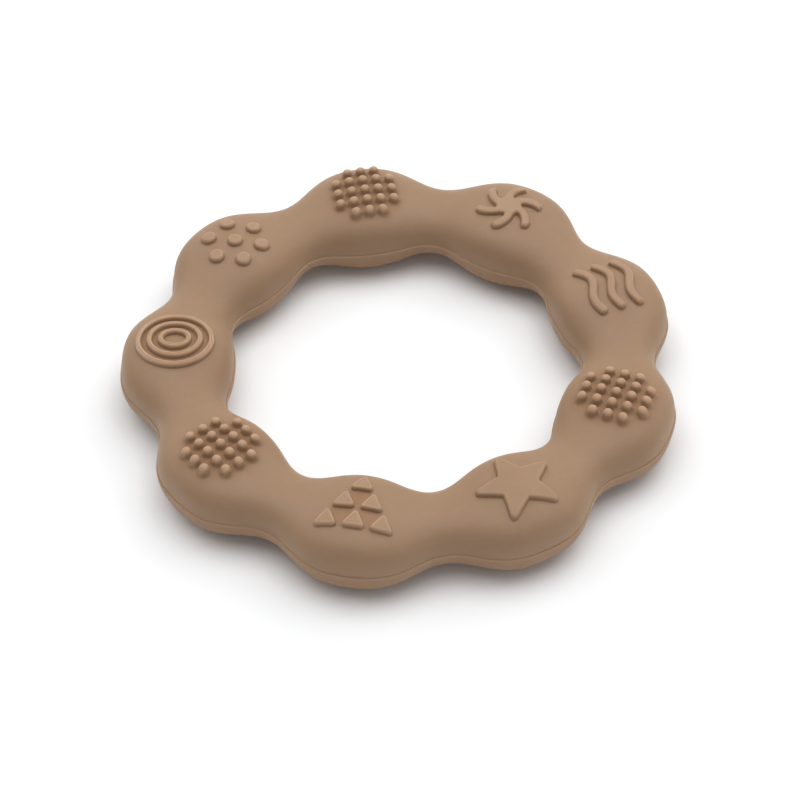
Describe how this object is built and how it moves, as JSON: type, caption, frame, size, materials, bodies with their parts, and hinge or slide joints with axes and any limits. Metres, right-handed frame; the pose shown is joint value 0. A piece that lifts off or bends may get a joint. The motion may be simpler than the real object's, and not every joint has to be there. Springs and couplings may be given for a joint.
{
  "type": "teething ring",
  "caption": "Soft silicone teething ring for a baby: rounded lobes joined by narrower necks, raised chewing textures on the lobes, bonded from an upper and a lower moulding.",
  "frame": {"origin": "middle of the ring, on its axis, in the plane where the upper and the lower moulding meet", "axes": "+Z along the ring's axis, from the lower moulding to the upper one; +Y from the middle towards the first dotted lobe"},
  "size_m": [0.0998, 0.0988, 0.0149],
  "materials": {
    "silicone": "matt"
  },
  "bodies": {
    "root": {"disc_1": "silicone", "disc_2": "silicone", "disc_3": "silicone", "disc_4": "silicone", "disc_5": "silicone", "disc_6": "silicone", "disc_7": "silicone", "inner_ring": "silicone", "lower_half": "silicone", "middle_ring": "silicone", "outer_ring": "silicone", "star": "silicone", "swirl": "silicone", "triangle_1": "silicone", "triangle_2": "silicone", "triangle_3": "silicone", "triangle_4": "silicone", "triangle_5": "silicone", "triangle_6": "silicone", "upper_half": "silicone", "wave_1": "silicone", "wave_2": "silicone", "wave_3": "silicone"}
  },
  "joints": []
}
